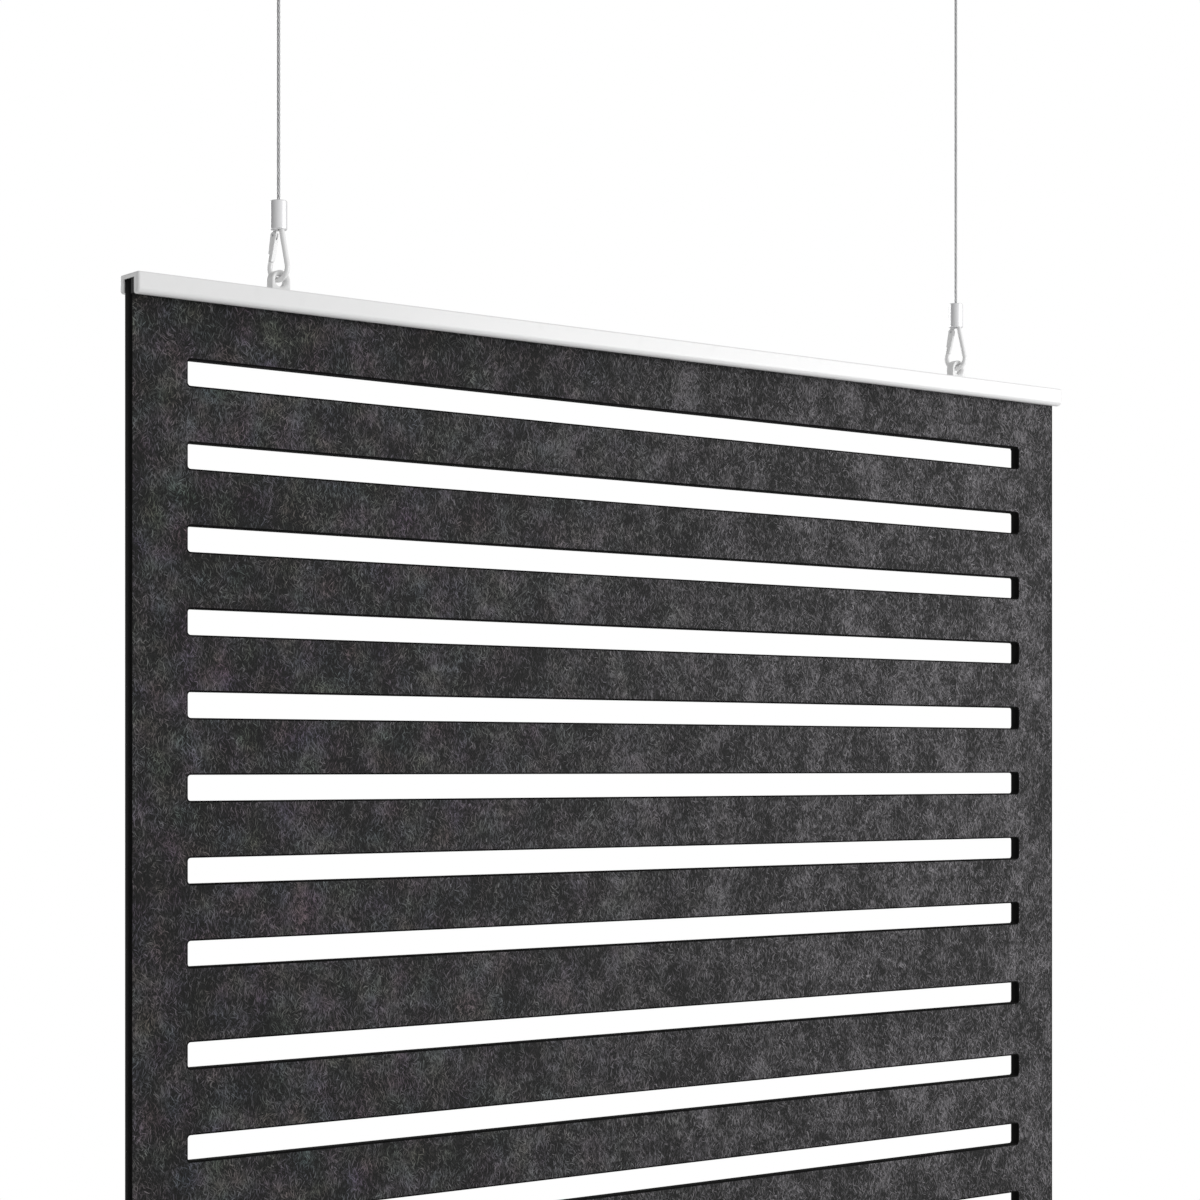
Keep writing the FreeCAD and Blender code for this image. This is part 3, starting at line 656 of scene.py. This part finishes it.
class FELTSCREEN_OT_felt(bpy.types.Operator):
    """Cut the felt board with its soft edges."""

    bl_idname = "feltscreen.felt"
    bl_label = "Felt board"

    def execute(self, context):
        look = context.scene.felt_look
        low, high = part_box("felt_panel")
        middle = (low.y + high.y) / 2
        mesh = bmesh.new()
        mesh.from_mesh(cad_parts["felt_panel"].data)
        bmesh.ops.remove_doubles(mesh, verts=mesh.verts, dist=FRAME_MERGE)
        walls = [face for face in mesh.faces if face.calc_center_median().y > low.y + look.edge_drop]
        bmesh.ops.delete(mesh, geom=walls, context="FACES")
        cap = list(mesh.faces)
        for face in cap:
            face.smooth = False
        for reach, drop in EDGE_SHARES:
            rim = self.rim(cap)
            band = bmesh.ops.inset_region(
                mesh, faces=cap, thickness=look.edge_reach * reach, use_even_offset=True, use_boundary=True,
            )
            self.soften(band["faces"])
            for vert in rim:
                vert.co.y += look.edge_drop * drop
        grown = bmesh.ops.extrude_edge_only(mesh, edges=[edge for edge in mesh.edges if edge.is_boundary])
        self.soften(item for item in grown["geom"] if isinstance(item, bmesh.types.BMFace))
        for item in grown["geom"]:
            if isinstance(item, bmesh.types.BMVert):
                item.co.y = middle
        other = bmesh.ops.duplicate(mesh, geom=[*mesh.verts, *mesh.edges, *mesh.faces])
        for item in other["geom"]:
            if isinstance(item, bmesh.types.BMVert):
                item.co.y = 2 * middle - item.co.y
        finished(
            "felt_board", mesh, "screen", [felt_finish(look), shaded_cut_felt_finish(look)],
            ["felt_panel"],
        )
        return {"FINISHED"}

    def rim(self, faces):
        """The points on the border of a sheet of faces."""
        sheet = set(faces)
        edges = {edge for face in faces for edge in face.edges}
        border = [edge for edge in edges if len(sheet.intersection(edge.link_faces)) == 1]
        return {vert for edge in border for vert in edge.verts}

    def soften(self, faces):
        """Shade faces smoothly and give them the cut edge's material, with its painted shade."""
        for face in faces:
            face.smooth = True
            face.material_index = 1


class FELTSCREEN_OT_rail(bpy.types.Operator):
    """Paint the rail and dress what it holds."""

    bl_idname = "feltscreen.rail"
    bl_label = "Rail and packing"

    def execute(self, context):
        look = context.scene.metal_look
        dress("rail", paint_finish("rail_white", look.paint, roughness=0.38, peel=900, wear=0.5))
        dress("packing_strip", rubber_finish())
        return {"FINISHED"}


class FELTSCREEN_OT_lugs(bpy.types.Operator):
    """Paint the eye lugs."""

    bl_idname = "feltscreen.lugs"
    bl_label = "Eye lugs"

    def execute(self, context):
        look = context.scene.metal_look
        white = paint_finish("lug_white", look.paint, roughness=0.36, peel=1100, wear=0.5)
        for side in SIDES:
            dress(f"eye_lug_{side}", white)
        return {"FINISHED"}


class FELTSCREEN_OT_hooks(bpy.types.Operator):
    """Enamel the snap hooks and dress their ferrules, pins and springs."""

    bl_idname = "feltscreen.hooks"
    bl_label = "Snap hooks and ferrules"

    def execute(self, context):
        look = context.scene.metal_look
        white = paint_finish("hook_enamel", look.enamel, roughness=0.2, peel=700, wear=0.4)
        zinc = metal_finish("pin_zinc", look.zinc, roughness=0.3, grain=900)
        for side, x in SIDES.items():
            dress(f"hook_body_{side}", white)
            dress(f"hook_gate_{side}", white)
            dress(f"gate_pin_{side}", zinc)
            dress(f"ferrule_{side}", ferrule_finish(f"ferrule_satin_{side}", look.aluminium, (x, 0, 0)))
            self.spring(side, look, zinc)
        return {"FINISHED"}

    def spring(self, side, look, zinc):
        """The coil inside a gate, in place of its plain sleeve."""
        low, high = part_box(f"gate_spring_{side}")
        radius = look.spring_wire / 2
        foot = Vector(((low.x + high.x) / 2, (low.y + high.y) / 2, low.z + radius))
        height = high.z - low.z - look.spring_wire
        steps = SPRING_STEPS * look.spring_turns
        line = [foot + Vector((0, 0, height * step / steps)) for step in range(steps + 1)]
        mesh = bmesh.new()
        coil = winding(line, (high.x - low.x) / 2 - radius, height / look.spring_turns)
        mesh.from_mesh(wire(coil, radius))
        finished(
            f"gate_spring_coil_{side}", mesh, f"{side}_gate", [zinc], [f"gate_spring_{side}"],
        )


class FELTSCREEN_OT_fasteners(bpy.types.Operator):
    """Give the screws, washers and nuts their zinc."""

    bl_idname = "feltscreen.fasteners"
    bl_label = "Fasteners"

    def execute(self, context):
        look = context.scene.metal_look
        zinc = metal_finish("zinc_plate", look.zinc, roughness=0.32, grain=700)
        for name in ("felt_screws", "lug_washers", "lug_nuts"):
            dress(name, zinc)
        return {"FINISHED"}


class FELTSCREEN_OT_ceiling(bpy.types.Operator):
    """Paint the ceiling fittings and polish the ball stops."""

    bl_idname = "feltscreen.ceiling"
    bl_label = "Ceiling fittings"

    def execute(self, context):
        look = context.scene.metal_look
        white = paint_finish("fitting_white", look.paint, roughness=0.36, peel=1000, wear=0.4)
        steel = metal_finish("ball_steel", look.zinc, roughness=0.2, grain=900)
        for side in SIDES:
            dress(f"ceiling_base_{side}", white)
            dress(f"ceiling_cap_{side}", white)
            dress(f"rope_stop_{side}", steel)
        return {"FINISHED"}


OPERATORS = (
    FELTSCREEN_OT_stage,
    FELTSCREEN_OT_ropes,
    FELTSCREEN_OT_felt,
    FELTSCREEN_OT_rail,
    FELTSCREEN_OT_lugs,
    FELTSCREEN_OT_hooks,
    FELTSCREEN_OT_fasteners,
    FELTSCREEN_OT_ceiling,
)

LOOKS = {
    "felt_look": FeltLook,
    "metal_look": MetalLook,
    "rope_look": RopeLook,
    "studio_look": StudioLook,
}


class FELTSCREEN_PT_panel(bpy.types.Panel):
    """The felt screen's pieces and looks."""

    bl_idname = "FELTSCREEN_PT_panel"
    bl_label = "Felt Screen"
    bl_space_type = "VIEW_3D"
    bl_region_type = "UI"
    bl_category = "Felt Screen"

    def draw(self, context):
        for operator in OPERATORS:
            self.layout.operator(operator.bl_idname)
        for name, group in LOOKS.items():
            box = self.layout.box()
            for setting in group.__annotations__:
                box.prop(getattr(context.scene, name), setting)


def register():
    """Add the classes and their settings to Blender."""
    for item in (*LOOKS.values(), *OPERATORS, FELTSCREEN_PT_panel):
        bpy.utils.register_class(item)
    for name, group in LOOKS.items():
        setattr(bpy.types.Scene, name, PointerProperty(type=group))


def unregister():
    """Take the classes and their settings out of Blender."""
    for name in LOOKS:
        delattr(bpy.types.Scene, name)
    for item in reversed((*LOOKS.values(), *OPERATORS, FELTSCREEN_PT_panel)):
        bpy.utils.unregister_class(item)


def main():
    """Build every piece in order."""
    register()
    bpy.ops.feltscreen.stage()
    bpy.ops.feltscreen.ropes()
    bpy.ops.feltscreen.felt()
    bpy.ops.feltscreen.rail()
    bpy.ops.feltscreen.lugs()
    bpy.ops.feltscreen.hooks()
    bpy.ops.feltscreen.fasteners()
    bpy.ops.feltscreen.ceiling()


if __name__ == "__main__":
    main()
